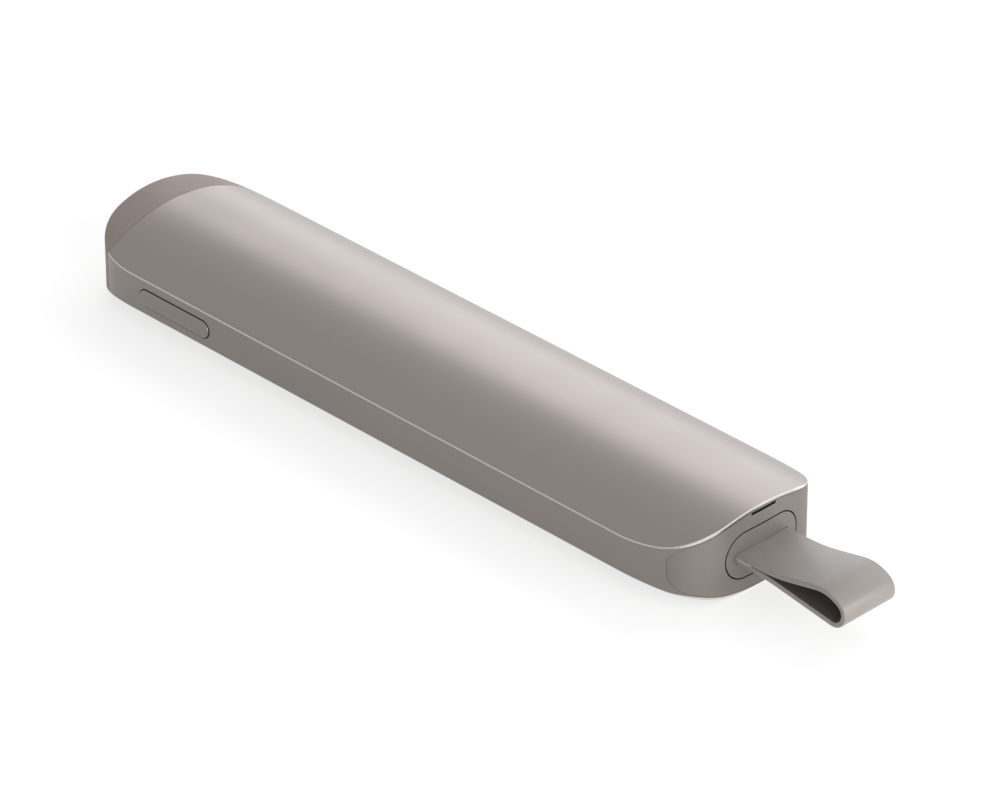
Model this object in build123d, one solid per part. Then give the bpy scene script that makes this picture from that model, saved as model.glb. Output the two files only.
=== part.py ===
"""Wireless presentation clicker.

Millimetres. +X runs to the tail, where the receiver and its strap come out; -X is the nose.
-Y is the side with the side button. +Z is up: the domed back is on top and the button face is below.
The origin is the centre of the flat land that the clicker rests on.
"""

import os
from collections import namedtuple
from math import asin, cos, degrees, radians, sin, sqrt

from build123d import *

# Body, seen from the side and along its length
BODY_LENGTH = 122.2
BODY_WIDTH = 29.0
SIDE_WALL_HEIGHT = 5.6
BACK_RISE = 4.5
FACE_DEPTH = 2.6
REST_LAND_WIDTH = 8.0
LAND_EDGE_RADIUS = 20.0
RIM_CHAMFER = 0.12

# Body, seen from above: each end is a flat arc, two corner arcs and two arcs that run into the sides
EndShape = namedtuple("EndShape", "end_radius corner_radius side_radius side_angle")
NOSE_SHAPE = EndShape(end_radius=48.0, corner_radius=8.9, side_radius=24.0, side_angle=10.0)
TAIL_SHAPE = EndShape(end_radius=74.0, corner_radius=8.2, side_radius=28.0, side_angle=14.0)

# Sleeve
SLEEVE_SIDE_WALL = 1.3
SLEEVE_FACE_WALL = 0.9
SLEEVE_CORNER_RADIUS = 3.0
MOUTH_FACE_WALL = 0.5
MOUTH_DEPTH = 7.0
NOSE_CAP_LENGTH = 5.75

# Fits
NOSE_SEAM_GAP = 0.05
TAIL_SEAM_GAP = 0.03
SLIP_FIT = 0.1
THREAD_FIT = 0.03
BUTTON_GAP = 0.15
STEM_GAP = 0.08

# Nose and tail caps
CAP_WALL = 1.5
SPIGOT_LENGTH = 4.6
SPIGOT_WALL = 1.0
LUG_LENGTH = 2.0
LUG_WIDTH = 2.6
LUG_HEIGHT = 0.45
LUG_SETBACK = 1.4

# Pointer light in the nose
LASER_AXIS_Z = 6.4
LASER_DIAMETER = 6.5
LASER_LENGTH = 10.0
LASER_SETBACK = 1.7
LASER_BEAM_BORE = 3.2
LASER_TUBE_WALL = 0.9
LASER_RIM_LENGTH = 1.0
LASER_RIM_STEP = 0.4
WINDOW_DIAMETER = 4.4
WINDOW_THICKNESS = 1.0
WINDOW_RECESS = 0.2

# Buttons
BUTTON_TRAVEL = 0.35
BUTTON_RECESS = 0.3
FLANGE_THICKNESS = 0.6
FLANGE_MARGIN = 0.7
FLANGE_CLEARANCE = 0.05
STEM_DIAMETER = 3.0
FaceButton = namedtuple("FaceButton", "from_nose straight width dish_depth")
POINTER_BUTTON = FaceButton(from_nose=19.1, straight=0.2, width=9.4, dish_depth=0.3)
NEXT_BUTTON = FaceButton(from_nose=36.1, straight=9.0, width=12.0, dish_depth=0.4)
BACK_BUTTON = FaceButton(from_nose=53.6, straight=0.2, width=9.4, dish_depth=0.3)
SIDE_BUTTON_FROM_NOSE = 20.95
SIDE_BUTTON_LENGTH = 14.9
SIDE_BUTTON_HEIGHT = 3.0
SIDE_BUTTON_ABOVE_RIM = 2.75
SIDE_BUTTON_PROUD = 0.2
SIDE_BUTTON_EDGE_RADIUS = 0.15
SIDE_FLANGE_THICKNESS = 0.7

# Circuit board and what stands on it
BOARD_THICKNESS = 0.8
BOARD_SIDE_GAP = 0.3
BOARD_FROM_NOSE = 14.1
BOARD_CORNER_RADIUS = 1.5
SWITCH_LENGTH = 4.6
SWITCH_WIDTH = 4.2
SWITCH_HEIGHT = 1.3
SWITCH_PAD_DIAMETER = 2.2
SWITCH_PAD_HEIGHT = 0.15
SIDE_SWITCH_LENGTH = 6.0
SIDE_SWITCH_DEPTH = 2.8
SIDE_SWITCH_HEIGHT = 2.4
SHIELD_SIZE = 12.0
SHIELD_HEIGHT = 1.4
SHIELD_WALL = 0.2
SHIELD_FROM_NOSE = 49.1
CHIP_SIZE = 6.0
CHIP_HEIGHT = 0.85
ANTENNA_LENGTH = 8.0
ANTENNA_WIDTH = 2.0
ANTENNA_HEIGHT = 1.2
ANTENNA_INSET = 0.4
MOTOR_DIAMETER = 8.0
MOTOR_HEIGHT = 2.7
MOTOR_FROM_TAIL = 42.6

# Inner frame
FRAME_RAIL_WIDTH = 1.8
FRAME_BOTTOM_Z = 2.9
FRAME_TOP_Z = 8.4
FRAME_FROM_NOSE = 12.9
FRAME_BULKHEAD = 1.0
SHELF_THICKNESS = 0.6
SHELF_LIFT = 1.8
SHELF_MARGIN = 0.6
BOARD_SCREW_FROM_NOSE = 31.1
BOARD_SCREW_FROM_TAIL = 53.1
BOARD_SCREW_FROM_RAIL = 2.3
BOARD_BOSS_DIAMETER = 3.8

# Screws
SCREW_DIAMETER = 1.6
SCREW_HEAD_DIAMETER = 3.0
SCREW_HEAD_HEIGHT = 0.7
SCREW_THREAD_LENGTH = 2.2
SCREW_SLOT_WIDTH = 0.4
SCREW_SLOT_DEPTH = 0.35

# Battery
BATTERY_WIDTH = 17.0
BATTERY_THICKNESS = 3.1
BATTERY_FROM_NOSE = 27.1
BATTERY_FROM_TAIL = 50.1
BATTERY_CORNER_RADIUS = 1.2
BATTERY_PAD_THICKNESS = 0.2
TAB_WIDTH = 3.0
TAB_THICKNESS = 0.2
TAB_SPACING = 9.0
TAB_REACH = 1.6
TAB_FOOT = 1.6

# Receiver and its bay
RECEIVER_AXIS_Z = 5.93
RECEIVER_WIDTH = 13.5
RECEIVER_HEIGHT = 7.0
RECEIVER_GAP = 0.2
RECEIVER_CAP_LENGTH = 3.0
RECEIVER_CORE_LENGTH = 11.25
PLUG_WIDTH = 12.0
PLUG_HEIGHT = 4.5
PLUG_REACH = 11.75
PLUG_WALL = 0.3
PLUG_EMBEDDED = 4.0
PLUG_CORNER_RADIUS = 0.4
TONGUE_HEIGHT = 1.9
TONGUE_SETBACK = 0.4
CONTACT_SIZE = (7.5, 1.0, 0.12)
CONTACT_PITCH = 2.3
RECEIVER_BOARD_WIDTH = 10.0
RECEIVER_BOARD_THICKNESS = 0.7
DOCK_WALL = 0.8
DOCK_END_WALL = 1.0
DOCK_END_GAP = 0.5
DOCK_FLANGE_SIDE_GAP = 0.4
DOCK_FLANGE_BOTTOM_Z = 3.0
DOCK_FLANGE_TOP_Z = 8.3
DOCK_SCREW_Z = 6.3
DOCK_BOSS_LENGTH = 5.0
DOCK_BOSS_WALL = 0.9
CATCH_LENGTH = 7.0
CATCH_HEIGHT = 3.0
CATCH_THICKNESS = 0.2
CATCH_CLEARANCE = 0.06
CATCH_SETBACK = 14.0
CATCH_WINDOW_MARGIN = 0.3

# Charging socket at the bottom of the bay
SOCKET_WIDTH = 8.94
SOCKET_HEIGHT = 3.26
SOCKET_LENGTH = 7.35
SOCKET_WALL = 0.25
SOCKET_FLOOR = 1.2
SOCKET_TONGUE_WIDTH = 6.7
SOCKET_TONGUE_HEIGHT = 0.7
SOCKET_TONGUE_SETBACK = 0.9

# Status light above the receiver
SLIT_WIDTH = 4.65
SLIT_HEIGHT = 0.42
SLIT_BELOW_CROWN = 0.92
LIGHT_POCKET_DEPTH = 5.0
LIGHT_GUIDE_RECESS = 0.35
LIGHT_GUIDE_FOOT = 2.4
LED_SIZE = (1.0, 1.8, 0.5)
FLEX_WIDTH = 3.0
FLEX_THICKNESS = 0.15
FLEX_FOOT_FROM_TAIL = 37.7
FLEX_RISE_FROM_TAIL = 35.5
FLEX_BEND_RADIUS = 0.8
FLEX_REST_GAP = 0.1

# Wrist strap: one band folded into a loop, its two ends bonded together in the receiver
STRAP_WIDTH = 9.85
STRAP_THICKNESS = 0.76
STRAP_PLY_GAP = 0.06
STRAP_BELOW_AXIS = 0.1
STRAP_SLOT_GAP = 0.06
STRAP_TAIL_LENGTH = 7.0
STRAP_STRAIGHT = 3.4
STRAP_BOND_REACH = 2.4
STRAP_RISE_RADIUS = 28.6
STRAP_RISE_ANGLE = 12.3
STRAP_RISE_RUN = 4.5
STRAP_CROWN_RADIUS = 5.6
STRAP_CROWN_ANGLE = 33.6
STRAP_TIP_RADIUS = 1.86
STRAP_RETURN_ANGLE = 8.4
STRAP_RETURN_RADIUS = 18.0
STRAP_PIN_DIAMETER = 1.2
STRAP_PIN_LENGTH = 5.8
STRAP_PIN_SETBACK = 3.5

# Worked out from the sizes above
NOSE_X = -BODY_LENGTH / 2
TAIL_X = BODY_LENGTH / 2
HALF_WIDTH = BODY_WIDTH / 2
RIM_LOW_Z = FACE_DEPTH
RIM_HIGH_Z = FACE_DEPTH + SIDE_WALL_HEIGHT
BODY_HEIGHT = RIM_HIGH_Z + BACK_RISE
BACK_RADIUS = (HALF_WIDTH**2 + BACK_RISE**2) / (2 * BACK_RISE)
BACK_CENTRE_Z = BODY_HEIGHT - BACK_RADIUS
FACE_CENTRE_Z = (HALF_WIDTH**2 + FACE_DEPTH**2 - (REST_LAND_WIDTH / 2) ** 2) / (2 * FACE_DEPTH)
FACE_RADIUS = sqrt(FACE_CENTRE_Z**2 + (REST_LAND_WIDTH / 2) ** 2)
NOSE_SEAM_X = NOSE_X + NOSE_CAP_LENGTH
MOUTH_X = TAIL_X - MOUTH_DEPTH
SIDE_BUTTON_X = NOSE_X + SIDE_BUTTON_FROM_NOSE
SIDE_BUTTON_Z = RIM_LOW_Z + SIDE_BUTTON_ABOVE_RIM
SIDE_INNER_Y = HALF_WIDTH - SLEEVE_SIDE_WALL
FLANGE_OUTER = SLEEVE_FACE_WALL + FLANGE_CLEARANCE
FLANGE_INNER = FLANGE_OUTER + FLANGE_THICKNESS
RECEIVER_TIP_X = TAIL_X - RECEIVER_CAP_LENGTH - RECEIVER_CORE_LENGTH - PLUG_REACH
CORE_NOSE_X = RECEIVER_TIP_X + PLUG_REACH
CORE_TAIL_X = CORE_NOSE_X + RECEIVER_CORE_LENGTH
DOCK_FLOOR_X = RECEIVER_TIP_X - DOCK_END_GAP
DOCK_NOSE_X = DOCK_FLOOR_X - DOCK_END_WALL
BAY_WIDTH = RECEIVER_WIDTH + 2 * RECEIVER_GAP
BAY_HEIGHT = RECEIVER_HEIGHT + 2 * RECEIVER_GAP
DOCK_WIDTH = BAY_WIDTH + 2 * DOCK_WALL
DOCK_HEIGHT = BAY_HEIGHT + 2 * DOCK_WALL
BOARD_TOP_Z = RECEIVER_AXIS_Z - SOCKET_HEIGHT / 2
BOARD_BOTTOM_Z = BOARD_TOP_Z - BOARD_THICKNESS
BOARD_TAIL_X = DOCK_NOSE_X - SLIP_FIT
SWITCH_FACE_Z = BOARD_BOTTOM_Z - SWITCH_HEIGHT
SHELF_Z = BOARD_TOP_Z + SHELF_LIFT
SHELF_TOP_Z = SHELF_Z + SHELF_THICKNESS
BATTERY_Z = SHELF_TOP_Z + BATTERY_PAD_THICKNESS
BATTERY_NOSE_X = NOSE_X + BATTERY_FROM_NOSE
BATTERY_TAIL_X = TAIL_X - BATTERY_FROM_TAIL
FRAME_NOSE_X = NOSE_X + FRAME_FROM_NOSE
FRAME_INNER_Y = SIDE_INNER_Y - SLIP_FIT - FRAME_RAIL_WIDTH
BOARD_NOSE_X = NOSE_X + BOARD_FROM_NOSE
BOARD_WIDTH = 2 * (FRAME_INNER_Y - BOARD_SIDE_GAP)
BOARD_SCREW_X = (NOSE_X + BOARD_SCREW_FROM_NOSE, TAIL_X - BOARD_SCREW_FROM_TAIL)
BOARD_SCREW_Y = FRAME_INNER_Y - BOARD_SCREW_FROM_RAIL
SHIELD_X = NOSE_X + SHIELD_FROM_NOSE
MOTOR_X = TAIL_X - MOTOR_FROM_TAIL
DOCK_SCREW_Y = (DOCK_WIDTH / 2 + SIDE_INNER_Y) / 2
DOCK_BOSS_INNER_Y = DOCK_SCREW_Y - SCREW_DIAMETER / 2 - DOCK_BOSS_WALL
SIDE_SWITCH_Y = -FRAME_INNER_Y + SLIP_FIT
LASER_NOSE_X = NOSE_X + LASER_SETBACK
SLIT_Z = BODY_HEIGHT - SLIT_BELOW_CROWN
DOCK_TOP_Z = RECEIVER_AXIS_Z + DOCK_HEIGHT / 2
FLEX_Z = DOCK_TOP_Z + FLEX_REST_GAP
FLEX_FOOT_X = TAIL_X - FLEX_FOOT_FROM_TAIL
FLEX_RISE_X = TAIL_X - FLEX_RISE_FROM_TAIL
STRAP_AXIS_Z = RECEIVER_AXIS_Z - STRAP_BELOW_AXIS
STRAP_STACK = 2 * STRAP_THICKNESS + STRAP_PLY_GAP
STRAP_NOSE_X = CORE_TAIL_X - STRAP_TAIL_LENGTH
SCREW_HOLE_DIAMETER = SCREW_DIAMETER + 2 * THREAD_FIT
BOARD_HOLE_DIAMETER = SCREW_DIAMETER + 2 * SLIP_FIT
FAR = 2 * BODY_LENGTH


# ---- shapes that several pieces share ----

def block(x, y, z):
    """A box between the given (low, high) pairs."""
    box = Box(x[1] - x[0], y[1] - y[0], z[1] - z[0], align=(Align.MIN, Align.MIN, Align.MIN))
    return Pos(x[0], y[0], z[0]) * box


def centred_block(x, width, z):
    """A box that is centred across the body."""
    return block(x, (-width / 2, width / 2), z)


def rod_along_x(x, y, z, diameter):
    """A round bar between two places along X."""
    return extrude(Plane.YZ.offset(x[0]) * Pos(y, z) * Circle(diameter / 2), x[1] - x[0])


def rod_along_z(x, y, z, diameter):
    """A round bar between two heights."""
    return extrude(Plane.XY.offset(z[0]) * Pos(x, y) * Circle(diameter / 2), z[1] - z[0])


def stadium_along_x(x, width, height):
    """A bar of the receiver's stadium section, on the receiver's axis."""
    face = Pos(0, RECEIVER_AXIS_Z) * SlotOverall(width, height)
    return extrude(Plane.YZ.offset(x[0]) * face, x[1] - x[0])


def end_half_angle(shape):
    """Half the angle of the end arc, for arcs that run into one another and into the sides."""
    corner_and_side = shape.corner_radius * cos(radians(shape.side_angle)) + shape.side_radius * (
        1 - cos(radians(shape.side_angle))
    )
    return asin((HALF_WIDTH - corner_and_side) / (shape.end_radius - shape.corner_radius))


def end_depth(shape):
    """Distance along X from the straight side's end to the tip."""
    half_angle = end_half_angle(shape)
    side_angle = radians(shape.side_angle)
    end_part = shape.end_radius * (1 - cos(half_angle))
    corner_part = shape.corner_radius * (cos(half_angle) - sin(side_angle))
    return end_part + corner_part + shape.side_radius * sin(side_angle)


def end_arcs(shape, start, heading, inset):
    """The five arcs of one end, turning left from the straight side."""
    half_angle = degrees(end_half_angle(shape))
    corner_angle = 90 - half_angle - shape.side_angle
    steps = [
        (shape.side_radius, shape.side_angle),
        (shape.corner_radius, corner_angle),
        (shape.end_radius, 2 * half_angle),
        (shape.corner_radius, corner_angle),
        (shape.side_radius, shape.side_angle),
    ]
    arcs = []
    tangent = heading
    for radius, angle in steps:
        arc = JernArc(start, tangent, radius - inset, angle)
        arcs.append(arc)
        start = arc @ 1
        tangent = arc % 1
    return arcs


def plan_face(inset, open_tail=False):
    """The body's outline from above, drawn in by the inset. An open tail runs on straight."""
    side = HALF_WIDTH - inset
    nose_start = NOSE_X + end_depth(NOSE_SHAPE)
    tail_start = TAIL_X - end_depth(TAIL_SHAPE)
    if open_tail:
        tail = [Polyline((tail_start, -side), (FAR, -side), (FAR, side), (tail_start, side))]
    else:
        tail = end_arcs(TAIL_SHAPE, Vector(tail_start, -side), Vector(1, 0), inset)
    nose = end_arcs(NOSE_SHAPE, Vector(nose_start, side), Vector(-1, 0), inset)
    sides = [
        Line((tail_start, side), (nose_start, side)),
        Line((nose_start, -side), (tail_start, -side)),
    ]
    return make_face(Curve() + tail + nose + sides)


def section_face(side_inset, back_inset, face_inset, corner_radius=0.0):
    """The body's outline across its width, drawn in by the insets."""
    half = HALF_WIDTH - side_inset
    back_radius = BACK_RADIUS - back_inset
    face_radius = FACE_RADIUS - face_inset
    high = BACK_CENTRE_Z + sqrt(back_radius**2 - half**2)
    low = FACE_CENTRE_Z - sqrt(face_radius**2 - half**2)
    land = sqrt(face_radius**2 - (FACE_CENTRE_Z - face_inset) ** 2)
    middle = (half + land) / 2
    middle_low = FACE_CENTRE_Z - sqrt(face_radius**2 - middle**2)
    outline = [
        ThreePointArc((half, high), (0, BACK_CENTRE_Z + back_radius), (-half, high)),
        Line((-half, high), (-half, low)),
        ThreePointArc((-half, low), (-middle, middle_low), (-land, face_inset)),
        Line((-land, face_inset), (land, face_inset)),
        ThreePointArc((land, face_inset), (middle, middle_low), (half, low)),
        Line((half, low), (half, high)),
    ]
    face = make_face(Curve() + outline)
    land_corners = face.vertices().filter_by(lambda vertex: abs(vertex.X) < middle)
    face = fillet(land_corners, LAND_EDGE_RADIUS - face_inset)
    if corner_radius > 0:
        side_corners = face.vertices().filter_by(lambda vertex: abs(vertex.X) > middle)
        face = fillet(side_corners, corner_radius)
    return face


def section_bar(x, side_inset, back_inset, face_inset, corner_radius=0.0):
    """The cross-section carried along X between two places."""
    face = section_face(side_inset, back_inset, face_inset, corner_radius)
    return extrude(Plane.YZ.offset(x[0]) * face, x[1] - x[0])


def is_rim(edge):
    """True on the edges between the side wall and the back or the button face."""
    upright = abs((edge % 0.5).Z) > 0.99
    on_land = edge.geom_type == GeomType.LINE and abs(edge.center().Y) < HALF_WIDTH - RIM_CHAMFER
    return not upright and not on_land


def body_blank():
    """The whole outer form, with both rims chamfered. Its side walls come from the outline alone."""
    beyond_sides = HALF_WIDTH / 10
    along = section_bar((-FAR, FAR), -beyond_sides, 0, 0)
    upright = extrude(plan_face(0), FAR, both=True)
    blank = along & upright
    return chamfer(blank.edges().filter_by(is_rim), RIM_CHAMFER)


def cavity(x, extra):
    """The sleeve's inside, drawn in by the extra. It follows the nose and is open at the tail."""
    bar = section_bar(
        x,
        SLEEVE_SIDE_WALL + extra,
        SLEEVE_FACE_WALL + extra,
        SLEEVE_FACE_WALL + extra,
        SLEEVE_CORNER_RADIUS - extra,
    )
    upright = extrude(plan_face(SLEEVE_SIDE_WALL + extra, open_tail=True), FAR, both=True)
    return bar & upright


def mouth_bar(x, extra):
    """The wider opening of the sleeve at the tail, drawn in by the extra."""
    side = SLEEVE_SIDE_WALL + extra
    rim = MOUTH_FACE_WALL + extra
    return section_bar(x, side, rim, rim, SLEEVE_CORNER_RADIUS - extra)


def face_layer(x, outer_inset, inner_inset):
    """A curved sheet that follows the button face, between two depths under it."""
    sheet = section_bar(x, SLEEVE_SIDE_WALL, 0, outer_inset)
    core = section_bar(x, 0, 0, inner_inset)
    return (sheet - core) & centred_block(x, BODY_WIDTH, (0, RIM_HIGH_Z))


def button_x(button):
    return NOSE_X + button.from_nose


def button_outline(button, growth):
    """The outline of a button on the face, grown all round: two half rounds and the straight between them."""
    width = button.width + 2 * growth
    outline = SlotOverall(button.straight + width, width)
    return extrude(Plane.XY.offset(-1) * Pos(button_x(button), 0) * outline, RIM_HIGH_Z)


def side_button_outline(y, growth):
    """The outline of the side button, grown all round, between two places across the body."""
    outline = SlotOverall(SIDE_BUTTON_LENGTH + 2 * growth, SIDE_BUTTON_HEIGHT + 2 * growth)
    plane = Plane.XZ.offset(-y[1])
    return extrude(plane * Pos(SIDE_BUTTON_X, SIDE_BUTTON_Z) * outline, y[1] - y[0])


def snap_lugs(x, growth):
    """Two lugs that stand out of a spigot and lock it into the sleeve."""
    reach = SIDE_INNER_Y + LUG_HEIGHT
    lugs = Part()
    for side in (-1, 1):
        y = sorted((side * (SIDE_INNER_Y - SPIGOT_WALL / 2), side * (reach + growth)))
        span = (x - LUG_LENGTH / 2 - growth, x + LUG_LENGTH / 2 + growth)
        middle = (RIM_LOW_Z + RIM_HIGH_Z) / 2
        z = (middle - LUG_WIDTH / 2 - growth, middle + LUG_WIDTH / 2 + growth)
        lugs += block(span, y, z)
    return lugs


def screw(length):
    """A slotted pan head screw, head up, with its seat at the origin."""
    shank = Cylinder(SCREW_DIAMETER / 2, length, align=(Align.CENTER, Align.CENTER, Align.MAX))
    head_align = (Align.CENTER, Align.CENTER, Align.MIN)
    head = Cylinder(SCREW_HEAD_DIAMETER / 2, SCREW_HEAD_HEIGHT, align=head_align)
    head = chamfer(head.edges().group_by(Axis.Z)[-1], SCREW_HEAD_HEIGHT / 4)
    slot = Pos(0, 0, SCREW_HEAD_HEIGHT - SCREW_SLOT_DEPTH) * Box(
        SCREW_HEAD_DIAMETER, SCREW_SLOT_WIDTH, SCREW_HEAD_HEIGHT, align=head_align
    )
    return shank + head - slot


def rounded_plate(x, width, z, radius):
    """A plate with round corners in plan."""
    outline = RectangleRounded(x[1] - x[0], width, radius)
    return extrude(Plane.XY.offset(z[0]) * Pos((x[0] + x[1]) / 2, 0) * outline, z[1] - z[0])


# ---- casing ----

BLANK = body_blank()
NOSE_LUG_X = NOSE_SEAM_X + SPIGOT_LENGTH - LUG_SETBACK
TAIL_LUG_X = MOUTH_X - SPIGOT_LENGTH + LUG_SETBACK


def make_outer_shell():
    shell = BLANK & centred_block((NOSE_SEAM_X, FAR), 2 * BODY_WIDTH, (-1, 2 * BODY_HEIGHT))
    shell -= cavity((-FAR, FAR), 0)
    shell -= mouth_bar((MOUTH_X, FAR), 0)
    for button in (POINTER_BUTTON, NEXT_BUTTON, BACK_BUTTON):
        shell -= button_outline(button, 0)
    shell -= side_button_outline((-BODY_WIDTH, -SIDE_INNER_Y + SLIP_FIT), 0)
    shell -= side_button_outline((-SIDE_INNER_Y, -FRAME_INNER_Y), FLANGE_MARGIN + SLIP_FIT)
    shell -= snap_lugs(NOSE_LUG_X, FLANGE_CLEARANCE)
    shell -= snap_lugs(TAIL_LUG_X, FLANGE_CLEARANCE)
    return shell


def laser_tube(x, diameter):
    return rod_along_x(x, 0, LASER_AXIS_Z, diameter)


def make_nose_cap():
    seam = NOSE_SEAM_X - NOSE_SEAM_GAP
    spigot_end = NOSE_SEAM_X + SPIGOT_LENGTH
    cap = BLANK & centred_block((-FAR, seam), 2 * BODY_WIDTH, (-1, 2 * BODY_HEIGHT))
    cap += cavity((seam, spigot_end), FLANGE_CLEARANCE)
    cap += snap_lugs(NOSE_LUG_X, 0)
    inner_plan = extrude(plan_face(CAP_WALL), FAR, both=True)
    hollow = section_bar(
        (-FAR, spigot_end),
        SLEEVE_SIDE_WALL + SPIGOT_WALL,
        SLEEVE_FACE_WALL + SPIGOT_WALL,
        SLEEVE_FACE_WALL + SPIGOT_WALL,
        SLEEVE_CORNER_RADIUS - SPIGOT_WALL,
    )
    hollow = hollow & inner_plan
    cap -= hollow
    tube_outer = LASER_DIAMETER + 2 * SLIP_FIT + 2 * LASER_TUBE_WALL
    cap += laser_tube((NOSE_X + CAP_WALL, spigot_end), tube_outer)
    cap -= laser_tube((LASER_NOSE_X, FAR), LASER_DIAMETER + 2 * SLIP_FIT)
    cap -= laser_tube((-FAR, 0), LASER_BEAM_BORE)
    cap -= laser_tube((-FAR, NOSE_X + WINDOW_RECESS + WINDOW_THICKNESS), WINDOW_DIAMETER)
    return cap


def make_laser_window():
    front = NOSE_X + WINDOW_RECESS
    window = laser_tube((front, front + WINDOW_THICKNESS), WINDOW_DIAMETER - 2 * THREAD_FIT)
    return chamfer(window.edges().group_by(Axis.X)[0], WINDOW_THICKNESS / 5)


def make_laser_module():
    body = laser_tube((LASER_NOSE_X, LASER_NOSE_X + LASER_LENGTH), LASER_DIAMETER)
    muzzle = laser_tube((LASER_NOSE_X, LASER_NOSE_X + LASER_RIM_LENGTH), LASER_BEAM_BORE)
    waist_start = LASER_NOSE_X + LASER_LENGTH - 2 * LASER_RIM_LENGTH
    waist = (waist_start, waist_start + LASER_RIM_LENGTH)
    groove = laser_tube(waist, LASER_DIAMETER) - laser_tube(waist, LASER_DIAMETER - LASER_RIM_STEP)
    return body - muzzle - groove


def slit_bar(x, width, bottom, top):
    return centred_block(x, width, (bottom, top))


def make_tail_cap():
    flange = mouth_bar((MOUTH_X, FAR), TAIL_SEAM_GAP) & BLANK
    spigot_x = (MOUTH_X - SPIGOT_LENGTH, MOUTH_X)
    spigot = cavity(spigot_x, FLANGE_CLEARANCE) - cavity(spigot_x, SPIGOT_WALL)
    cap = flange + spigot + snap_lugs(TAIL_LUG_X, 0)
    cap -= stadium_along_x((MOUTH_X, FAR), BAY_WIDTH, BAY_HEIGHT)
    cap -= stadium_along_x((0, MOUTH_X), DOCK_WIDTH + 2 * SLIP_FIT, DOCK_HEIGHT + 2 * SLIP_FIT)
    slit_top = SLIT_Z + SLIT_HEIGHT / 2
    cap -= slit_bar((MOUTH_X, FAR), SLIT_WIDTH, slit_top - SLIT_HEIGHT, slit_top)
    pocket_x = (0, MOUTH_X + LIGHT_POCKET_DEPTH)
    cap -= slit_bar(pocket_x, SLIT_WIDTH, DOCK_TOP_Z, slit_top)
    return cap


def make_status_light_guide():
    slit_top = SLIT_Z + SLIT_HEIGHT / 2 - THREAD_FIT
    foot_end = MOUTH_X + LIGHT_POCKET_DEPTH - THREAD_FIT
    width = SLIT_WIDTH - 2 * THREAD_FIT
    foot_bottom = DOCK_TOP_Z + THREAD_FIT
    bar_bottom = SLIT_Z - SLIT_HEIGHT / 2 + THREAD_FIT
    foot = slit_bar((foot_end - LIGHT_GUIDE_FOOT, foot_end), width, foot_bottom, slit_top)
    bar = slit_bar((foot_end, TAIL_X - LIGHT_GUIDE_RECESS), width, bar_bottom, slit_top)
    return foot + bar


# ---- buttons ----

def make_face_button(button):
    """A button of the lower face: cap through the sleeve, flange behind it and stem to the switch."""
    length = button.straight + button.width
    middle = button_x(button)
    span = (middle - length, middle + length)
    cap = face_layer(span, BUTTON_RECESS, FLANGE_INNER) & button_outline(button, -BUTTON_GAP)
    flange = face_layer(span, FLANGE_OUTER, FLANGE_INNER) & button_outline(button, FLANGE_MARGIN)
    stem_top = SWITCH_FACE_Z - SWITCH_PAD_HEIGHT - BUTTON_TRAVEL - STEM_GAP
    stem = rod_along_z(middle, 0, (FLANGE_INNER - FLANGE_THICKNESS / 2, stem_top), STEM_DIAMETER)
    reach = length / 2 - 2 * BUTTON_GAP
    dish_radius = (reach**2 + button.dish_depth**2) / (2 * button.dish_depth)
    dish_centre_z = BUTTON_RECESS + button.dish_depth - dish_radius
    dish = Pos(middle, 0, dish_centre_z) * Sphere(dish_radius)
    return cap + flange + stem - dish


def make_side_button():
    face_y = -HALF_WIDTH - SIDE_BUTTON_PROUD
    flange_y = -SIDE_INNER_Y + FLANGE_CLEARANCE
    flange_end = flange_y + SIDE_FLANGE_THICKNESS
    stem_end = SIDE_SWITCH_Y - BUTTON_TRAVEL - STEM_GAP
    cap = side_button_outline((face_y, flange_end), -BUTTON_GAP)
    cap = fillet(cap.edges().group_by(Axis.Y)[0], SIDE_BUTTON_EDGE_RADIUS)
    flange = side_button_outline((flange_y, flange_end), FLANGE_MARGIN)
    stem_plane = Plane.XZ.offset(-stem_end) * Pos(SIDE_BUTTON_X, SIDE_BUTTON_Z)
    stem = extrude(stem_plane * Circle(SIDE_SWITCH_HEIGHT / 3), stem_end - flange_y)
    return cap + flange + stem


# ---- circuit board ----

def make_main_board():
    x = (BOARD_NOSE_X, BOARD_TAIL_X)
    z = (BOARD_BOTTOM_Z, BOARD_TOP_Z)
    board = rounded_plate(x, BOARD_WIDTH, z, BOARD_CORNER_RADIUS)
    for screw_x in BOARD_SCREW_X:
        for side in (-1, 1):
            board -= rod_along_z(screw_x, side * BOARD_SCREW_Y, z, BOARD_HOLE_DIAMETER)
    return board


def make_face_switch(button):
    """A flat tact switch under the board, pressed by a button's stem."""
    middle = button_x(button)
    x = (middle - SWITCH_LENGTH / 2, middle + SWITCH_LENGTH / 2)
    body = centred_block(x, SWITCH_WIDTH, (SWITCH_FACE_Z, BOARD_BOTTOM_Z))
    body = chamfer(body.edges().filter_by(Axis.Z), SWITCH_HEIGHT / 4)
    pad_z = (SWITCH_FACE_Z - SWITCH_PAD_HEIGHT, SWITCH_FACE_Z)
    return body + rod_along_z(middle, 0, pad_z, SWITCH_PAD_DIAMETER)


def make_side_switch():
    x = (SIDE_BUTTON_X - SIDE_SWITCH_LENGTH / 2, SIDE_BUTTON_X + SIDE_SWITCH_LENGTH / 2)
    y = (SIDE_SWITCH_Y, SIDE_SWITCH_Y + SIDE_SWITCH_DEPTH)
    body = block(x, y, (BOARD_TOP_Z, BOARD_TOP_Z + SIDE_SWITCH_HEIGHT))
    return chamfer(body.edges().filter_by(Axis.Z), SIDE_SWITCH_HEIGHT / 8)


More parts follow.
